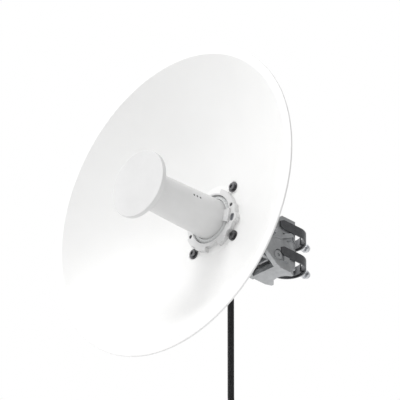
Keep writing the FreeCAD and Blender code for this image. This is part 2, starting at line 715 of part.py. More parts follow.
def gland_nut():
    """Domed nut with grip ribs and a flared mouth."""
    body = rod(GLAND_NUT_R, (0, GLAND_Y, NUT_MOUTH), (0, GLAND_Y, NUT_TOP))
    lower = [e for e in body.Edges if abs(e.CenterOfMass.z - NUT_MOUTH) < 0.01]
    body = body.makeFillet(3.0, lower)
    for k in range(12):
        a = math.radians(30 * k)
        x, y = (GLAND_NUT_R + 0.7) * math.cos(a), (GLAND_NUT_R + 0.7) * math.sin(a)
        body = body.cut(rod(1.5, (x, GLAND_Y + y, NUT_MOUTH + 5), (x, GLAND_Y + y, NUT_TOP + 1)))
    body = body.cut(rod(GLAND_NUT_R - 2.3, (0, GLAND_Y, NECK_TOP), (0, GLAND_Y, NUT_TOP + 1)))
    body = body.cut(rod(CABLE_R + 0.4, (0, GLAND_Y, SWING_Z), (0, GLAND_Y, NUT_TOP)))
    flare = math.tan(math.radians(max(TILT_UP, TILT_DOWN))) * (SWING_Z - NUT_MOUTH)
    cone = Part.makeCone(CABLE_R + 0.9 + flare, CABLE_R + 0.4, SWING_Z - NUT_MOUTH,
                         V(0, GLAND_Y, NUT_MOUTH), V(0, 0, 1))
    return body.cut(cone)


JACK_TOP = PCB_Z - PCB_THICK
JACK_H = 13.5


def ethernet_jack():
    """Socket under the board that faces down at the gland."""
    shell = box((-8, 8), (GLAND_Y - 6.8, GLAND_Y + 6.8), (JACK_TOP - JACK_H, JACK_TOP))
    hole = box((-PLUG_W / 2 - 0.2, PLUG_W / 2 + 0.2), (GLAND_Y - PLUG_H / 2 - 0.2, GLAND_Y + PLUG_H / 2 + 0.2),
               (JACK_TOP - JACK_H - 1, JACK_TOP - 2))
    return shell.cut(hole)


INNER_PLUG_TOP = JACK_TOP - 2.5
INNER_PLUG_BOTTOM = INNER_PLUG_TOP - PLUG_LONG


def inner_plug():
    return box((-PLUG_W / 2, PLUG_W / 2), (GLAND_Y - PLUG_H / 2, GLAND_Y + PLUG_H / 2),
               (INNER_PLUG_BOTTOM, INNER_PLUG_TOP))


def inner_lead():
    """The cable's end inside the housing, from the gland up to the inner plug."""
    low = SWING_Z + CABLE_R + 0.3
    return rod(CABLE_R, (0, GLAND_Y, low), (0, GLAND_Y, INNER_PLUG_BOTTOM))


# ---- tilt bracket ----------------------------------------------------------------------

PIVOT = (PIVOT_Y, AXIS_Z + PIVOT_Z)
LOCK = (LOCK_Y, AXIS_Z + LOCK_Z)
LOCK_ARC_R = math.hypot(LOCK_Y - PIVOT_Y, LOCK_Z - PIVOT_Z)
LOCK_ARC_AT = math.degrees(math.atan2(LOCK_Z - PIVOT_Z, LOCK_Y - PIVOT_Y))
WALL_BACK_Y = BACK_WALL_Y + BACK_WALL_THICK


def across(radius, yz, x0, x1):
    """A round bar along X at a (y, z) place."""
    return rod(radius, (x0, yz[0], yz[1]), (x1, yz[0], yz[1]))


def lock_slot(x0, x1):
    """Arc-shaped slot about the hinge for the lock bolt."""
    r = PIN_R + BOLT_GAP
    extra = 1.0
    first, last = LOCK_ARC_AT - TILT_UP - extra, LOCK_ARC_AT + TILT_DOWN + extra

    def at(radius, degrees):
        a = math.radians(degrees)
        return V(x0, PIVOT[0] + radius * math.cos(a), PIVOT[1] + radius * math.sin(a))

    inner, outer = LOCK_ARC_R - r, LOCK_ARC_R + r
    middle = (first + last) / 2
    edges = [Part.Arc(at(outer, first), at(outer, middle), at(outer, last)).toShape(),
             Part.Arc(at(outer, last), at(LOCK_ARC_R, last + math.degrees(r / LOCK_ARC_R)),
                      at(inner, last)).toShape(),
             Part.Arc(at(inner, last), at(inner, middle), at(inner, first)).toShape(),
             Part.Arc(at(inner, first), at(LOCK_ARC_R, first - math.degrees(r / LOCK_ARC_R)),
                      at(outer, first)).toShape()]
    return Part.Face(Part.Wire(edges)).extrude(V(x1 - x0, 0, 0))


def tilt_bracket():
    """Ring behind the dish, side arms round the housing, back wall and two knuckles."""
    top, bottom = AXIS_Z + BACK_WALL_TOP, AXIS_Z + BACK_WALL_BOTTOM
    arm_out = ARM_X + ARM_THICK
    parts = [tube(RING_PLATE_R, RING_PLATE_BORE_R, PLATE_BACK, PLATE_FRONT)]
    for x, z in SCREW_SPOTS:
        parts.append(rod(SEAT_R - 1.2, (x, ahead(PLATE_BACK - 4), z),
                         (x, ahead(SEAT_BACK_D - SEAT_GAP), z)))
    for side in (-1, 1):
        xs = sorted((side * ARM_X, side * arm_out))
        arm = plate([(ahead(PLATE_FRONT), AXIS_Z + ARM_HALF_H + 6), (BACK_WALL_Y, AXIS_Z + ARM_HALF_H),
                     (BACK_WALL_Y, AXIS_Z - ARM_HALF_H), (ahead(PLATE_FRONT), AXIS_Z - ARM_HALF_H - 6)],
                    xs[0], xs[1], "x")
        window = plate([(ahead(PLATE_BACK) + 8, AXIS_Z + 9), (BACK_WALL_Y - 8, AXIS_Z + 9),
                        (BACK_WALL_Y - 8, AXIS_Z - 9), (ahead(PLATE_BACK) + 8, AXIS_Z - 9)],
                       xs[0] - 1, xs[1] + 1, "x")
        parts.append(arm.cut(window))
    wall = plate([(-arm_out, AXIS_Z + ARM_HALF_H), (-22, top), (22, top), (arm_out, AXIS_Z + ARM_HALF_H),
                  (arm_out, AXIS_Z - ARM_HALF_H), (22, bottom), (-22, bottom),
                  (-arm_out, AXIS_Z - ARM_HALF_H)], BACK_WALL_Y, WALL_BACK_Y, "y")
    parts.append(wall.cut(box((-10, 10), (BACK_WALL_Y - 1, WALL_BACK_Y + 1), (AXIS_Z - 14, AXIS_Z + 14))))
    for side in (-1, 1):
        x0, x1 = sorted((side * KNUCKLE_IN, side * KNUCKLE_OUT))
        outline = [(BACK_WALL_Y + 1, bottom), (PIVOT[0] - 1.5, PIVOT[1] - KNUCKLE_LUG_R + 0.2),
                   (PIVOT[0] + KNUCKLE_LUG_R, PIVOT[1]), (LOCK[0] + 15, LOCK[1] - 6),
                   (LOCK[0] + 15, LOCK[1] + 2), (LOCK[0] + 10, LOCK[1] + 8), (BACK_WALL_Y + 1, top)]
        knuckle = plate(outline, x0, x1, "x").fuse(across(KNUCKLE_LUG_R, PIVOT, x0, x1))
        knuckle = knuckle.cut(across(PIN_R + BUSH_WALL + SEAT_GAP, PIVOT, x0 - 1, x1 + 1))
        parts.append(knuckle.cut(lock_slot(x0 - 1, x1 + 1)))
    body = fused(parts)
    for x, z in SCREW_SPOTS:
        body = body.cut(rod(SCREW_R + 0.02, (x, ahead(-30), z), (x, ahead(20), z)))
    for angle in LUG_ANGLES:
        spot = polar(HOUSING_LUG_AT, angle, PLATE_BACK - 1)
        body = body.cut(Part.makeCylinder(COVER_SCREW_R + 0.02, 20, spot, V(0, -1, 0)))
    return body


BUSH_WALL = 1.2


def pivot_bushes():
    """Plain bushes pressed into the knuckles; they turn on the hinge bolt."""
    bushes = []
    for side in (-1, 1):
        x0, x1 = sorted((side * KNUCKLE_IN, side * KNUCKLE_OUT))
        bush = across(PIN_R + BUSH_WALL, PIVOT, x0, x1)
        bushes.append(bush.cut(across(PIN_R + 0.05, PIVOT, x0 - 1, x1 + 1)))
    return group(bushes)


# ---- pole bracket ----------------------------------------------------------------------

BASE_Z = AXIS_Z + SADDLE_BOTTOM
TOP_Z = AXIS_Z + SADDLE_TOP
SADDLE_END_Y = -POLE_R * math.cos(math.radians(SADDLE_ANGLE))
LEG_OUT = STRAP_IN_R + STRAP_THICK
HOOK_SLOT = (STRAP_FRONT_Y - 0.6, STRAP_FRONT_Y + STRAP_THICK + 0.6)
PIVOT_FACE = HUMP_OUT - PIN_POCKET
LOCK_FACE = CHEEK_OUT
CLAMPS = {"upper": UPPER_CLAMP_Z, "lower": LOWER_CLAMP_Z}
TONGUE_Z = (AXIS_Z + 24.0, AXIS_Z + 27.0)


def hump():
    """Raised boss round the hinge, cut straight along its lower front."""
    disc = across(HUMP_R, PIVOT, CHEEK_IN, HUMP_OUT)
    front = PIVOT[0] - HUMP_R - 2
    below = plate([(LIP_Y, BASE_Z), (front, AXIS_Z - 19), (front, BASE_Z - 30), (0, BASE_Z - 30),
                   (0, BASE_Z)], CHEEK_IN - 1, HUMP_OUT + 1, "x")
    back = box((CHEEK_OUT, HUMP_OUT + 1), (STRAP_FRONT_Y - 1.2, 20), (BASE_Z - 50, TOP_Z + 50))
    inner = across(HUMP_R - 3.0, PIVOT, HUMP_OUT - 0.8, HUMP_OUT + 1)
    ring = across(PIN_R + 6, PIVOT, HUMP_OUT - 1, HUMP_OUT + 2)
    return disc.cut(fused([below, back])).cut(inner.cut(ring))


def cheek():
    """Right side plate of the bracket, from the saddle forward to the hinge."""
    front = PIVOT[0] - HUMP_R * 0.8
    outline = [(LIP_Y, BASE_Z), (SADDLE_END_Y, BASE_Z), (SADDLE_END_Y, TOP_Z), (LOCK[0] + 18, TOP_Z),
               (LOCK[0] - 4, LOCK[1] + EAR_R), (LOCK[0] - EAR_R, LOCK[1]), (front, PIVOT[1] + 12)]
    side = plate(outline, CHEEK_IN, CHEEK_OUT, "x")
    side = side.fuse(across(EAR_R, LOCK, CHEEK_IN, CHEEK_OUT)).fuse(hump())
    for height in CLAMPS.values():
        side = side.cut(box((CHEEK_IN - 1, HUMP_OUT + 1), HOOK_SLOT,
                            (height - HOOK_HALF_H - 0.5, height + HOOK_HALF_H + 0.5)))
    # open triangle beside the pole, under the tongue
    side = side.cut(plate([(-24.0, AXIS_Z + 7.0), (-13.5, AXIS_Z + 11.0), (SADDLE_END_Y - 1.0, AXIS_Z + 9.0),
                           (SADDLE_END_Y - 1.0, AXIS_Z - 4.0), (SADDLE_END_Y - 4.5, AXIS_Z - 4.0)],
                          CHEEK_IN - 0.5, CHEEK_OUT + 1, "x"))
    # blade that rises from the hinge's boss to a rounded tip beside the pole
    side = side.fuse(plate([(PIVOT[0] - 18, AXIS_Z - 12), (PIVOT[0] - 18, AXIS_Z + 1), (PIVOT[0], AXIS_Z + 2.6),
                            (PIVOT[0] + 13, AXIS_Z + 13.5), (PIVOT[0] + 24, AXIS_Z + 18.4),
                            (PIVOT[0] + 29, AXIS_Z + 17.6), (PIVOT[0] + 30, AXIS_Z + 15.6),
                            (PIVOT[0] + 26, AXIS_Z + 12.6), (PIVOT[0] + 9, AXIS_Z + 4.6),
                            (PIVOT[0] - 4, AXIS_Z - 2)], CHEEK_OUT - 1, CHEEK_OUT + BLADE_RISE, "x"))
    # small block under the lower strap's leg
    side = side.fuse(box((CHEEK_OUT - 1, CHEEK_OUT + 2.4), (-32, -21.5), (AXIS_Z - 29, AXIS_Z - 21.6)))
    # finger-sized recess that lightens the plate between the two straps
    middle = (UPPER_CLAMP_Z + LOWER_CLAMP_Z) / 2
    return side.cut(box((CHEEK_OUT - 1.6, CHEEK_OUT + 0.1), (HOOK_SLOT[1] + 3, SADDLE_END_Y - 3),
                        (middle - 9, middle + 9)))


def pole_bracket():
    """Casting that hugs the pole and carries the hinge of the dish."""
    outer = POLE_R + SADDLE_WALL
    shell = rod(outer, (0, 0, BASE_Z), (0, 0, TOP_Z))
    shell = shell.common(box((-outer, outer), (-outer - 1, SADDLE_END_Y), (BASE_Z, TOP_Z)))
    right = cheek()
    left = right.mirror(V(0, 0, 0), V(1, 0, 0))
    narrow = POLE_R + 1.5
    floor = plate([(-CHEEK_OUT, LIP_Y), (CHEEK_OUT, LIP_Y), (CHEEK_OUT, -20), (narrow, SADDLE_END_Y),
                   (-narrow, SADDLE_END_Y), (-CHEEK_OUT, -20)], BASE_Z, BASE_Z + FLOOR_THICK, "z")
    lip = box((-CHEEK_OUT, CHEEK_OUT), (LIP_Y, LIP_Y + LIP_THICK), (BASE_Z, BASE_Z + LIP_H))
    groove = box((-CHEEK_OUT, CHEEK_OUT), (LIP_Y - 1, LIP_Y + 0.8), (BASE_Z + 3.2, BASE_Z + 5.2))
    tongue = plate([(-CHEEK_OUT, -33), (CHEEK_OUT, -33), (CHEEK_OUT, -13), (POLE_R + 0.6, -4.6),
                    (-POLE_R - 0.6, -4.6), (-CHEEK_OUT, -13)], TONGUE_Z[0], TONGUE_Z[1], "z")
    body = fused([shell, right, left, floor, lip.cut(groove), tongue])
    corner = plate([(CHEEK_OUT + 1, -20), (CHEEK_OUT + 1, 0), (narrow, 0), (narrow, SADDLE_END_Y)],
                   BASE_Z - 1, BASE_Z + 7, "z")
    body = body.cut(corner).cut(corner.mirror(V(0, 0, 0), V(1, 0, 0)))
    body = body.cut(rod(POLE_R, (0, 0, BASE_Z - 10), (0, 0, TOP_Z + 10)))
    reach = HUMP_OUT + 2
    body = body.cut(across(PIN_R + 0.05, PIVOT, -reach, reach))
    for inner, outer in ((PIVOT_FACE, reach), (-reach, -PIVOT_FACE)):
        body = body.cut(across(PIN_POCKET_R, PIVOT, inner, outer))
    return body.cut(across(PIN_R + 0.05, LOCK, -reach, reach))


def hinge_bolt():
    """Hinge pin along X with a low round head that sits in the bracket's pocket."""
    head = across(6.9, PIVOT, PIVOT_FACE, PIVOT_FACE + 3.4)
    key = hexagon(5.0, (PIVOT_FACE + 1.2, PIVOT[0], PIVOT[1]), (PIVOT_FACE + 5, PIVOT[0], PIVOT[1]))
    return head.cut(key).fuse(across(PIN_R, PIVOT, -PIVOT_FACE - 6.5, PIVOT_FACE))


def cross_bolt(place, head_face):
    """Hexagon bolt along X with a flange under its head."""
    flange = across(6.4, place, head_face, head_face + 1.4)
    head = hexagon(10.0, (head_face + 1.4, place[0], place[1]), (head_face + 5.6, place[0], place[1]))
    shank = across(PIN_R, place, -head_face - 6.5, head_face)
    return fused([flange, head, shank])


def cross_nut(place, face):
    nut = hexagon(10.0, (-face - 5.0, place[0], place[1]), (-face, place[0], place[1]))
    return nut.cut(across(PIN_R + 0.02, place, -face - 6, -face + 1))


def cross_washer(place, face):
    disc = across(6.2, place, -face, -face + 1.2)
    return disc.cut(across(PIN_R + 0.2, place, -face - 1, -face + 2))


def cross_nuts():
    return group([cross_nut(PIVOT, PIVOT_FACE + 1.2), cross_nut(LOCK, LOCK_FACE + 1.2)])


def cross_washers():
    return group([cross_washer(PIVOT, PIVOT_FACE + 1.2), cross_washer(LOCK, LOCK_FACE + 1.2)])


def ground_screw():
    """Earth screw with its washer, low on the bracket's left cheek."""
    y, z = LIP_Y + 14, BASE_Z + 6.6
    face = CHEEK_OUT
    head = rod(3.4, (-face - 1.0, y, z), (-face - 3.4, y, z))
    disc = rod(5.0, (-face, y, z), (-face - 1.0, y, z))
    slot = box((-face - 4, -face - 2.4), (y - 4, y + 4), (z - 0.45, z + 0.45))
    return head.cut(slot).fuse(disc)


# ---- clamp straps, jack bolts and pads -------------------------------------------------

def strap(height):
    """U-shaped strap round the back of the pole with two hooked legs."""
    low, high = height - STRAP_H / 2, height + STRAP_H / 2
    bend = rod(LEG_OUT, (0, 0, low), (0, 0, high)).cut(rod(STRAP_IN_R, (0, 0, low - 1), (0, 0, high + 1)))
    bend = bend.common(box((-LEG_OUT, LEG_OUT), (0, LEG_OUT), (low, high)))
    parts = [bend]
    for side in (-1, 1):
        x0, x1 = sorted((side * STRAP_IN_R, side * LEG_OUT))
        leg = plate([(0, low), (0, high), (STRAP_FRONT_Y + 6, high), (STRAP_FRONT_Y, height + HOOK_HALF_H),
                     (STRAP_FRONT_Y, height - HOOK_HALF_H), (STRAP_FRONT_Y + 6, low)], x0, x1, "x")
        h0, h1 = sorted((side * HOOK_TIP_X, side * LEG_OUT))
        hook = box((h0, h1), (STRAP_FRONT_Y, STRAP_FRONT_Y + STRAP_THICK),
                   (height - HOOK_HALF_H, height + HOOK_HALF_H))
        parts += [leg, hook]
    return fused(parts).cut(rod(JACK_R + BOLT_GAP, (0, 10, height), (0, 40, height)))


def strap_nuts():
    """Nuts welded on the backs of the two straps."""
    nuts = []
    for height in CLAMPS.values():
        nut = hexagon(NUT_AF, (0, LEG_OUT + 0.02, height), (0, LEG_OUT + NUT_H, height))
        nuts.append(nut.cut(rod(JACK_R + 0.05, (0, 20, height), (0, 50, height))))
    return group(nuts)


PAD_IN_R = POLE_R + 0.02
PAD_BACK_Y = POLE_R + PAD_THICK


def pressure_pad(height):
    """Curved pad between the jack bolt's tip and the pole."""
    low, high = height - PAD_H / 2, height + PAD_H / 2
    ring = rod(PAD_BACK_Y, (0, 0, low), (0, 0, high)).cut(rod(PAD_IN_R, (0, 0, low - 1), (0, 0, high + 1)))
    half = PAD_BACK_Y * math.tan(math.radians(PAD_HALF_ANGLE))
    wedge = plate([(0, 0), (half * 1.2, PAD_BACK_Y * 1.2), (-half * 1.2, PAD_BACK_Y * 1.2)],
                  low - 1, high + 1, "z")
    return ring.common(wedge)


def jack_bolt(height):
    """Flange bolt through the strap's nut; its tip presses the pad."""
    shank = rod(JACK_R, (0, PAD_BACK_Y + 0.05, height), (0, JACK_REACH, height))
    flange = rod(JACK_FLANGE_R, (0, JACK_REACH, height), (0, JACK_REACH + JACK_FLANGE_H, height))
    head_y = JACK_REACH + JACK_FLANGE_H
    head = hexagon(JACK_HEAD_AF, (0, head_y, height), (0, head_y + JACK_HEAD_H, height))
    dome = Part.makeCone(JACK_HEAD_AF / math.sqrt(3) + 1.2, JACK_HEAD_AF / 2 - 0.6, JACK_HEAD_H,
                         V(0, head_y, height), V(0, 1, 0))
    return fused([shank, flange, head.common(dome)])


# ---- drop cable, coil, tie and plug ----------------------------------------------------

COIL_SECTION = 2 * CABLE_R                     # turns lie a cable's width apart, two by two
COIL_OUT_R = COIL_R + COIL_SECTION
COIL_IN_R = COIL_R - COIL_SECTION
COIL_Z = AXIS_Z + COIL_TOP - COIL_OUT_R        # centre of the coil
LEAD_IN_X = COIL_R + CABLE_R
TAIL_X = LEAD_IN_X                              # the far end hangs from the same side
TAIL_Y = GLAND_Y - CABLE_R
TAIL_Z = COIL_Z - TAIL_LEN


# the route of the hanging cable: straight down, then a gentle S into the coil's outer turn
DROP_POINTS = [(0.0, GLAND_Y, SWING_Z), (0.0, GLAND_Y, -278.0), (10.0, GLAND_Y, -314.0),
               (44.0, GLAND_Y + 2.5, -340.0), (LEAD_IN_X, GLAND_Y + CABLE_R, COIL_Z)]


def corner_radius(before, corner, after):
    """Largest tidy bend at a corner: 0.45 of the shorter run over tan of half the turn."""
    turn = (corner - before).getAngle(after - corner)
    return 0.45 * min((corner - before).Length, (after - corner).Length) / math.tan(turn / 2)


def cable_path(points):
    """Straight runs joined by tangent arcs."""
    points = [V(*p) for p in points]
    edges, last = [], points[0]
    for before, corner, after in zip(points, points[1:], points[2:]):
        radius = corner_radius(before, corner, after)
        turn = (corner - before).getAngle(after - corner)
        cut = radius * math.tan(turn / 2)
        into, out = (corner - before).normalize(), (after - corner).normalize()
        start, end = corner - into * cut, corner + out * cut
        towards = (out - into).normalize()
        middle = corner + towards * (radius / math.cos(turn / 2) - radius)
        edges += [Part.LineSegment(last, start).toShape(), Part.Arc(start, middle, end).toShape()]
        print("bend radius %.1f mm, turn %.0f degrees" % (radius, math.degrees(turn)))
        last = end
    edges.append(Part.LineSegment(last, points[-1]).toShape())
    return Part.Wire(edges)


def drop_cable():
    path = cable_path(DROP_POINTS)
    profile = Part.Wire(Part.makeCircle(CABLE_R, V(*DROP_POINTS[0]), V(0, 0, 1)))
    hose = path.makePipeShell([profile], True, False)
    print("cable tube: volume %.0f, section x length %.0f" %
          (hose.Volume, math.pi * CABLE_R ** 2 * path.Length))
    return hose.fuse(Part.makeSphere(CABLE_R, V(*DROP_POINTS[0])))


def cable_coil():
    """Outer shape of the coiled spare cable, a flat ring that hangs on edge."""
    y0, y1 = GLAND_Y - COIL_SECTION, GLAND_Y + COIL_SECTION
    ring = rod(COIL_OUT_R, (0, y0, COIL_Z), (0, y1, COIL_Z))
    ring = ring.cut(rod(COIL_IN_R, (0, y0 - 1, COIL_Z), (0, y1 + 1, COIL_Z)))
    return ring.cut(drop_cable()).cut(cable_tail())


def coil_tie():
    """Hook-and-loop band round the bundle of turns."""
    outer, inner = COIL_SECTION + TIE_THICK, COIL_SECTION + 0.1
    band = box((COIL_R - outer, COIL_R + outer), (GLAND_Y - outer, GLAND_Y + outer),
               (COIL_Z - TIE_HALF, COIL_Z + TIE_HALF))
    hole = box((COIL_R - inner - 1.0, COIL_R + inner + 0.6), (GLAND_Y - inner, GLAND_Y + inner),
               (COIL_Z - TIE_HALF - 1, COIL_Z + TIE_HALF + 1))
    band = band.cut(hole)
    band.rotate(V(0, 0, COIL_Z), V(0, -1, 0), TIE_ANGLE)
    return band


def cable_boot():
    """Boot of the plug, where the cable's end leaves the coil."""
    return Part.makeCone(CABLE_R + 0.4, 6.2, BOOT_LONG, V(TAIL_X, TAIL_Y, TAIL_Z), V(0, 0, -1))


def cable_plug():
    """Modular plug at the far end, with its locking tab."""
    x, top = TAIL_X, TAIL_Z - BOOT_LONG
    front = TAIL_Y - PLUG_H / 2
    body = box((x - PLUG_W / 2, x + PLUG_W / 2), (front, front + PLUG_H), (top - PLUG_LONG, top))
    tab = plate([(front, top - PLUG_LONG + 2), (front - 3.2, top - 3), (front - 2.2, top - 3),
                 (front + 0.5, top - PLUG_LONG + 5)], x - 3, x + 3, "x")
    return body.fuse(tab)


def cable_tail():
    """Last stretch of the cable, hanging from the coil to the plug."""
    return rod(CABLE_R, (TAIL_X, TAIL_Y, COIL_Z), (TAIL_X, TAIL_Y, TAIL_Z)).cut(drop_cable())


# ---- write every sub-part --------------------------------------------------------------

NODES = {
    "dish_reflector": dish_reflector, "dish_screws": dish_screws, "dish_washers": dish_washers,
    "feed_collar": feed_collar, "collar_screws": collar_screws, "lock_ring": lock_ring,
    "latch_button": latch_button, "latch_spring": latch_spring,
    "feed_tube": feed_tube, "base_seal": base_seal, "led_windows": led_windows, "feed_cap": feed_cap,
    "sub_reflector": sub_reflector, "feed_horn": feed_horn, "feed_probe": feed_probe,
    "main_pcb": main_pcb, "rf_shields": rf_shields, "radio_chips": radio_chips,
    "heat_spreader": heat_spreader, "thermal_pad": thermal_pad,
    "housing_seal": housing_seal, "rear_housing": rear_housing, "housing_screws": housing_screws,
    "cover_seal": cover_seal, "rear_cover": rear_cover, "cover_screws": cover_screws,
    "reset_button": reset_button, "reset_switch": reset_switch, "vent_plug": vent_plug,
    "gland_body": gland_body, "gland_seal": gland_seal, "gland_nut": gland_nut,
    "ethernet_jack": ethernet_jack, "inner_plug": inner_plug, "inner_lead": inner_lead,
    "tilt_bracket": tilt_bracket, "pivot_bushes": pivot_bushes, "pole_bracket": pole_bracket,
    "hinge_bolt": hinge_bolt, "lock_bolt": lambda: cross_bolt(LOCK, LOCK_FACE),
    "cross_nuts": cross_nuts, "cross_washers": cross_washers, "ground_screw": ground_screw,
    "upper_strap": lambda: strap(UPPER_CLAMP_Z), "lower_strap": lambda: strap(LOWER_CLAMP_Z),
    "strap_nuts": strap_nuts,
    "upper_pad": lambda: pressure_pad(UPPER_CLAMP_Z), "lower_pad": lambda: pressure_pad(LOWER_CLAMP_Z),
    "upper_jack_bolt": lambda: jack_bolt(UPPER_CLAMP_Z), "lower_jack_bolt": lambda: jack_bolt(LOWER_CLAMP_Z),
    "drop_cable": drop_cable, "cable_coil": cable_coil, "coil_tie": coil_tie,
    "cable_tail": cable_tail, "cable_boot": cable_boot, "cable_plug": cable_plug,
}

os.makedirs("parts", exist_ok=True)
for name, make in NODES.items():
    save(name, make())
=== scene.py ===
"""Looks of the outdoor wireless bridge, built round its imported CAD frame. Metres."""
import json
import math

import bpy
from mathutils import Matrix, Vector


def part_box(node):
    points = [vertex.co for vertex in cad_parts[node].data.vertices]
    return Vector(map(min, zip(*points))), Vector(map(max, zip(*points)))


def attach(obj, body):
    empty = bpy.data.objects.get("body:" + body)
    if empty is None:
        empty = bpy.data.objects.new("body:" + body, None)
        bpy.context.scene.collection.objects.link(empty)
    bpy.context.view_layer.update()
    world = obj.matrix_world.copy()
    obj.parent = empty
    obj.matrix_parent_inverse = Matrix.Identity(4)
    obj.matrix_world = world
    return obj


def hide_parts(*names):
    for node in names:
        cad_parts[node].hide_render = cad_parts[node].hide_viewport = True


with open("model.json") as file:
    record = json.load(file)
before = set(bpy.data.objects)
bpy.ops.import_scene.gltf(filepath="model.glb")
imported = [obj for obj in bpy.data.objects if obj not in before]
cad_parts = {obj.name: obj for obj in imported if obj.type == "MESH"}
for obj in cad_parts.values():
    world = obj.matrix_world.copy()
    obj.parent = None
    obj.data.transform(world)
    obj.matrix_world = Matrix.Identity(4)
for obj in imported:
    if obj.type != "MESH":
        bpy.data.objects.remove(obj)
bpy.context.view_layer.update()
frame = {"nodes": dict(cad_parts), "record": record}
nodes = frame["nodes"]
slot_of = {part["node"]: part["material_slot"] for part in frame["record"]["subparts"]}


# ---- places read from the frame --------------------------------------------------------

def middle(node):
    """Centre of a CAD node's box."""
    low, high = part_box(node)
    return (Vector(low) + Vector(high)) / 2


AXIS_Z = middle("feed_tube").z
GLAND = middle("gland_nut")
COIL_LOW, COIL_HIGH = map(Vector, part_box("cable_coil"))
COIL = (COIL_LOW + COIL_HIGH) / 2
CABLE_D = 0.009


# ---- camera ----------------------------------------------------------------------------

VIEW_WIDTH = 0.5472          # metres across the picture at the pole's axis
CAMERA_DISTANCE = 20.0
CLIP_END = 10 * CAMERA_DISTANCE
SENSOR_WIDTH = 36.0          # millimetres
VIEW_AZIMUTH = math.radians(44.6)
VIEW_ELEVATION = math.radians(-28.9)
# from the pole's axis, at the height of the tube's middle, to the picture's centre
AIM_RIGHT, AIM_UP = -0.1187, 0.0772


def camera_axes():
    """Right, up and backward directions of the view."""
    flat = Vector((math.sin(VIEW_AZIMUTH), -math.cos(VIEW_AZIMUTH), 0))
    back = flat * math.cos(VIEW_ELEVATION) + Vector((0, 0, math.sin(VIEW_ELEVATION)))
    right = Vector((math.cos(VIEW_AZIMUTH), math.sin(VIEW_AZIMUTH), 0))
    up = back.cross(right)
    return right, up, back


def make_camera():
    right, up, back = camera_axes()
    target = Vector((0, 0, AXIS_Z)) + right * AIM_RIGHT + up * AIM_UP
    data = bpy.data.cameras.new("camera")
    data.sensor_width = SENSOR_WIDTH
    data.lens = SENSOR_WIDTH * CAMERA_DISTANCE / VIEW_WIDTH
    data.clip_end = CLIP_END
    camera = bpy.data.objects.new("camera", data)
    bpy.context.scene.collection.objects.link(camera)
    turn = Matrix((right, up, back)).transposed().to_4x4()
    camera.matrix_world = Matrix.Translation(target + back * CAMERA_DISTANCE) @ turn
    bpy.context.scene.camera = camera


make_camera()


# ---- procedural materials --------------------------------------------------------------

NOISE_SPAN = (0.3, 0.7)      # where most of a noise's values lie
LEAST_ROUGHNESS = 0.02
RANGE_SOCKETS = ("From Min", "From Max", "To Min", "To Max")


class Finish:
    """A node-based material: principled shader, colour variation, roughness and bump."""

    def __init__(self, name, color, roughness, metallic=0.0, **sockets):
        self.material = bpy.data.materials.new(name)
        self.material.use_nodes = True
        self.tree = self.material.node_tree
        self.shader = self.tree.nodes["Principled BSDF"]
        self.color = color
        self.set("Base Color", (*color, 1.0))
        self.set("Roughness", roughness)
        self.set("Metallic", metallic)
        for socket, value in sockets.items():
            self.set(socket.replace("_", " ").title().replace("Ior", "IOR"), value)
        self.roughness = roughness
        self.coordinates = self.node("ShaderNodeTexCoord")
        self.height = None

    def set(self, socket, value):
        self.shader.inputs[socket].default_value = value

    def node(self, kind):
        return self.tree.nodes.new(kind)

    def link(self, a, b):
        self.tree.links.new(a, b)

    def texture(self, kind, scale, stretch):
        """A texture in the object's own metres, tighter along its stretched axes."""
        mapping = self.node("ShaderNodeMapping")
        mapping.inputs["Scale"].default_value = stretch
        self.link(self.coordinates.outputs["Object"], mapping.inputs["Vector"])
        made = self.node(kind)
        made.inputs["Scale"].default_value = scale
        self.link(mapping.outputs["Vector"], made.inputs["Vector"])
        return made

    def noise(self, scale, detail, rough=0.55, stretch=(1, 1, 1)):
        """Value of a cloudy noise."""
        made = self.texture("ShaderNodeTexNoise", scale, stretch)
        made.inputs["Detail"].default_value = detail
        made.inputs["Roughness"].default_value = rough
        return made.outputs["Fac"]

    def cells(self, scale, stretch=(1, 1, 1)):
        """Distance field of random cells, for grain, copper runs and woven tape."""
        return self.texture("ShaderNodeTexVoronoi", scale, stretch).outputs["Distance"]

    def span(self, value, low, high):
        """A noise's value rescaled to a range."""
        scale = self.node("ShaderNodeMapRange")
        for name, number in zip(RANGE_SOCKETS, (*NOISE_SPAN, low, high)):
            scale.inputs[name].default_value = number
        self.link(value, scale.inputs["Value"])
        return scale.outputs["Result"]

    def tint(self, value, dark, light, source=NOISE_SPAN):
        """Uneven colour between a darker and a lighter share of the base colour."""
        ramp = self.node("ShaderNodeValToRGB")
        for element, place, share in zip(ramp.color_ramp.elements, source, (dark, light)):
            element.position = place
            element.color = (*(min(1.0, c * share) for c in self.color), 1.0)
        self.link(value, ramp.inputs["Fac"])
        self.link(ramp.outputs["Color"], self.shader.inputs["Base Color"])
        return self

    def gloss(self, value, spread):
        """Roughness that varies by a spread about its mean."""
        low = max(LEAST_ROUGHNESS, self.roughness - spread)
        high = min(1.0, self.roughness + spread)
        self.link(self.span(value, low, high), self.shader.inputs["Roughness"])
        return self

    def bump(self, value, depth, strength):
        """Relief of a depth in metres; calls stack."""
        bump = self.node("ShaderNodeBump")
        bump.inputs["Strength"].default_value = strength
        bump.inputs["Distance"].default_value = depth
        self.link(value, bump.inputs["Height"])
        if self.height is not None:
            self.link(self.height, bump.inputs["Normal"])
        self.height = bump.outputs["Normal"]
        self.link(self.height, self.shader.inputs["Normal"])
        return self


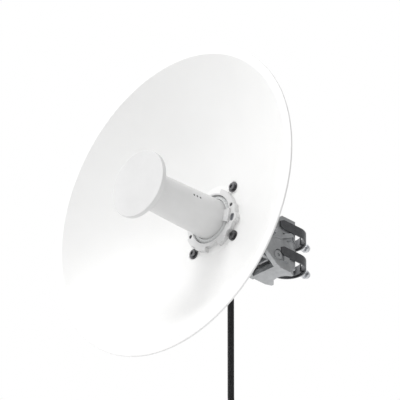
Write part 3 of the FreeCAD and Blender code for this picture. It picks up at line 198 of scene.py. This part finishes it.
def powder_coat(name, color, roughness=0.42):
    """Sprayed and baked coat with a fine orange-peel surface."""
    f = Finish(name, color, roughness, coat_weight=0.12, coat_roughness=0.25)
    f.tint(f.noise(9.0, 3.0), 0.975, 1.015)
    f.gloss(f.noise(60.0, 4.0), 0.06)
    f.bump(f.noise(900.0, 3.0), 0.00010, 0.35)
    return f.bump(f.noise(2600.0, 2.0), 0.00004, 0.25)


def moulded(name, color, roughness=0.45, grain=2200.0, depth=0.00004):
    """Injection-moulded plastic with a fine spark-eroded grain."""
    f = Finish(name, color, roughness)
    f.tint(f.noise(30.0, 3.0), 0.96, 1.02)
    f.gloss(f.noise(180.0, 4.0), 0.07)
    return f.bump(f.cells(grain), depth, 0.5)


def cast_metal(name, color, roughness=0.42):
    """Tumbled die casting: cloudy grey, small pits and polished high spots."""
    f = Finish(name, color, roughness, metallic=0.85)
    f.tint(f.noise(55.0, 6.0, rough=0.65), 0.80, 1.12)
    f.gloss(f.noise(240.0, 5.0), 0.12)
    f.bump(f.noise(420.0, 5.0), 0.00018, 0.5)
    return f.bump(f.cells(1500.0), 0.00006, 0.4)


def plated(name, color, roughness=0.30, spread=0.12):
    """Zinc-plated or stainless steel with drawing marks."""
    f = Finish(name, color, roughness, metallic=1.0)
    f.tint(f.noise(140.0, 5.0, rough=0.7), 0.78, 1.10)
    f.gloss(f.noise(420.0, 4.0, stretch=(1, 1, 6)), spread)
    return f.bump(f.noise(1600.0, 3.0, stretch=(1, 1, 8)), 0.00004, 0.4)


def rubbery(name, color, roughness=0.62):
    """Soft black compound with a slightly dusty, uneven sheen."""
    f = Finish(name, color, roughness, specular_ior_level=0.35)
    f.tint(f.noise(75.0, 5.0), 0.75, 1.6)
    f.gloss(f.noise(300.0, 4.0), 0.10)
    return f.bump(f.noise(1500.0, 4.0), 0.00005, 0.5)


def circuit_board(name, color):
    """Solder mask with faint copper runs under it."""
    f = Finish(name, color, 0.3, coat_weight=0.4, coat_roughness=0.15)
    lines = f.cells(260.0, stretch=(1, 0.2, 1))
    f.tint(lines, 0.8, 1.7, source=(0.15, 0.4))
    return f.bump(lines, 0.00004, 0.5)


def clear_plastic(name, color, transmission):
    """Translucent moulding."""
    f = Finish(name, color, 0.12, transmission_weight=transmission)
    f.gloss(f.noise(200.0, 3.0), 0.05)
    return f.bump(f.noise(900.0, 2.0), 0.00003, 0.3)


def woven_tape(name, color):
    """Hook-and-loop tape: fuzzy, with a fine ribbed weave."""
    f = Finish(name, color, 0.9, sheen_weight=0.6, sheen_roughness=0.5)
    f.tint(f.cells(1800.0), 0.5, 1.9, source=(0.1, 0.6))
    f.bump(f.cells(1800.0), 0.0003, 0.8)
    return f.bump(f.noise(3000.0, 2.0), 0.0001, 0.5)


def make_finishes():
    """One material for each of the record's slots."""
    return {
        "dish_white": powder_coat("dish_white", (0.86, 0.86, 0.855)),
        "radome_white": moulded("radome_white", (0.68, 0.68, 0.68), 0.40),
        "dark_screw": plated("dark_screw", (0.15, 0.15, 0.155), 0.36),
        "steel_washer": plated("steel_washer", (0.45, 0.45, 0.46), 0.30),
        "latch_grey": moulded("latch_grey", (0.16, 0.165, 0.18), 0.35),
        "spring_steel": plated("spring_steel", (0.55, 0.55, 0.56), 0.25),
        "seal_black": rubbery("seal_black", (0.02, 0.02, 0.02)),
        "lamp_window": clear_plastic("lamp_window", (0.12, 0.13, 0.14), 0.15),
        "sheet_silver": plated("sheet_silver", (0.78, 0.78, 0.79), 0.22),
        "horn_alloy": plated("horn_alloy", (0.72, 0.73, 0.74), 0.30),
        "probe_brass": plated("probe_brass", (0.76, 0.55, 0.22), 0.22),
        "board_green": circuit_board("board_green", (0.02, 0.13, 0.05)),
        "chip_black": moulded("chip_black", (0.02, 0.02, 0.022), 0.4),
        "pad_grey": rubbery("pad_grey", (0.22, 0.24, 0.28), 0.7),
        "housing_grey": powder_coat("housing_grey", (0.62, 0.63, 0.63), 0.45),
        "cover_fastener": plated("cover_fastener", (0.60, 0.60, 0.61), 0.28),
        "gland_black": moulded("gland_black", (0.022, 0.022, 0.024), 0.45,
                               grain=1500.0, depth=0.00006),
        "plug_clear": clear_plastic("plug_clear", (0.70, 0.73, 0.76), 0.75),
        "cable_black": rubbery("cable_black", (0.008, 0.008, 0.009), 0.55),
        "tie_black": woven_tape("tie_black", (0.02, 0.02, 0.02)),
        "bracket_alloy": cast_metal("bracket_alloy", (0.50, 0.51, 0.52)),
        "bush_nylon": moulded("bush_nylon", (0.76, 0.74, 0.68), 0.5),
        "bolt_zinc": plated("bolt_zinc", (0.66, 0.67, 0.69), 0.26),
        "strap_steel": plated("strap_steel", (0.15, 0.153, 0.16), 0.38, spread=0.14),
    }


finishes = {name: made.material for name, made in make_finishes().items()}


def paint(piece, slot):
    """Gives a new piece a finish."""
    piece.data.materials.clear()
    piece.data.materials.append(finishes[slot])


def paint_cad_nodes():
    for name, node in nodes.items():
        for place in node.material_slots:
            place.material = finishes[slot_of[name]]


paint_cad_nodes()


# ---- drop cable ------------------------------------------------------------------------

SWING_Z = -0.0645            # top of the hanging run, where it leaves the gland
DROP_Y = -0.1095
COIL_R = 0.0495              # middle of the bundle of turns
OUTER_TURN_R = COIL_R + CABLE_D / 2
DROP_ROUTE = [(0.0, DROP_Y, SWING_Z), (0.0, DROP_Y, -0.250), (0.0, DROP_Y, -0.278),
              (0.010, DROP_Y, -0.314), (0.044, -0.107, -0.340),
              (OUTER_TURN_R, DROP_Y + CABLE_D / 2, COIL.z)]
TURN_POINTS = 16
FIRST_POINT = 2              # the route's own last points take the place of those before it
LANE_CHANGE_PACE = 3         # a change of lane takes the first third of a turn
TAIL_Y = GLAND.y - CABLE_D / 2
TAIL_START = COIL.z - 0.02   # where the cable hangs straight again
TAIL_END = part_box("cable_boot")[1][2]


def coil_points():
    """Turns lying two by two: out, in, across and out again, each a cable's width apart."""
    half = CABLE_D / 2
    lanes = [(COIL_R + half, half), (COIL_R - half, half),
             (COIL_R - half, -half), (COIL_R + half, -half)]
    points = []
    steps = TURN_POINTS * len(lanes)
    for step in range(FIRST_POINT, steps + 1):
        turn = step / TURN_POINTS
        lane = min(int(turn), len(lanes) - 1)
        before = lanes[max(lane - 1, 0)]
        share = min(1.0, (turn - lane) * LANE_CHANGE_PACE)
        share = share * share * (3 - 2 * share)      # eases in and out
        radius = before[0] + (lanes[lane][0] - before[0]) * share
        side = before[1] + (lanes[lane][1] - before[1]) * share
        angle = -2 * math.pi * turn
        points.append((radius * math.cos(angle), GLAND.y + side, COIL.z + radius * math.sin(angle)))
    return points


def make_cable():
    """One smooth line: hanging run, coil and tail down to the plug's boot."""
    tail = [(OUTER_TURN_R, TAIL_Y, TAIL_START), (OUTER_TURN_R, TAIL_Y, TAIL_END)]
    points = DROP_ROUTE + coil_points() + tail
    curve = bpy.data.curves.new("network_cable", "CURVE")
    curve.dimensions = "3D"
    curve.bevel_depth = CABLE_D / 2
    curve.bevel_resolution = 6
    curve.resolution_u = 8
    curve.use_fill_caps = True
    spline = curve.splines.new("NURBS")
    spline.points.add(len(points) - 1)
    for control, point in zip(spline.points, points):
        control.co = (*point, 1.0)
    spline.order_u = 3
    spline.use_endpoint_u = True
    cable = bpy.data.objects.new("network_cable", curve)
    bpy.context.scene.collection.objects.link(cable)
    paint(cable, "cable_black")
    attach(cable, "cable")
    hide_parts("drop_cable", "cable_coil", "cable_tail")


make_cable()


# ---- stage -----------------------------------------------------------------------------

FLOOR_SIZE = 400.0
FLOOR_Z = -34.0              # below the camera in views from below, too
WHITE = (1.0, 1.0, 1.0, 1.0)
LAMP_BANK = (-0.75, -0.45, 0.55)
AMBIENT = (0.02, 1.46)       # strength of the surroundings opposite the lamp bank and at it
KEY_PLACE = (0.1, -2.3, 2.5)
KEY_AIM = (0, -0.15, 0)
KEY_SIZE = 1.2
KEY_POWER = 32.0             # watts


def make_floor():
    """Pale floor far below the object."""
    bpy.ops.mesh.primitive_plane_add(size=FLOOR_SIZE, location=(0, 0, FLOOR_Z))
    floor = bpy.context.object
    floor.name = "studio_floor"
    pale = Finish("studio_floor", (0.92, 0.92, 0.92), 0.8)
    pale.tint(pale.noise(0.4, 2.0), 0.98, 1.01)
    floor.data.materials.append(pale.material)


def make_surroundings():
    """White to the camera; as light, brighter from the lamp bank's side than from opposite it."""
    world = bpy.data.worlds.new("studio")
    bpy.context.scene.world = world
    world.use_nodes = True
    tree = world.node_tree
    lit = tree.nodes["Background"]
    lit.inputs["Color"].default_value = WHITE
    direction = tree.nodes.new("ShaderNodeTexCoord")
    facing = tree.nodes.new("ShaderNodeVectorMath")
    facing.operation = "DOT_PRODUCT"
    facing.inputs[1].default_value = Vector(LAMP_BANK).normalized()
    level = tree.nodes.new("ShaderNodeMapRange")
    for name, value in zip(RANGE_SOCKETS, (-1.0, 1.0, *AMBIENT)):
        level.inputs[name].default_value = value
    tree.links.new(direction.outputs["Generated"], facing.inputs[0])
    tree.links.new(facing.outputs["Value"], level.inputs["Value"])
    tree.links.new(level.outputs["Result"], lit.inputs["Strength"])
    seen = tree.nodes.new("ShaderNodeBackground")
    seen.inputs["Color"].default_value = WHITE
    path = tree.nodes.new("ShaderNodeLightPath")
    mix = tree.nodes.new("ShaderNodeMixShader")
    tree.links.new(path.outputs["Is Camera Ray"], mix.inputs["Fac"])
    tree.links.new(lit.outputs["Background"], mix.inputs[1])
    tree.links.new(seen.outputs["Background"], mix.inputs[2])
    tree.links.new(mix.outputs["Shader"], tree.nodes["World Output"].inputs["Surface"])


def make_key_light():
    """Soft round lamp above and in front of the dish."""
    data = bpy.data.lights.new("key", "AREA")
    data.shape = "DISK"
    data.size = KEY_SIZE
    data.energy = KEY_POWER
    light = bpy.data.objects.new("key", data)
    bpy.context.scene.collection.objects.link(light)
    light.location = KEY_PLACE
    direction = Vector(KEY_AIM) - Vector(KEY_PLACE)
    light.rotation_euler = direction.to_track_quat("-Z", "Y").to_euler()


def set_view_transform():
    settings = bpy.context.scene.view_settings
    settings.view_transform = "Standard"
    settings.look = "None"
    settings.exposure = 0.0


make_floor()
make_surroundings()
make_key_light()
set_view_transform()
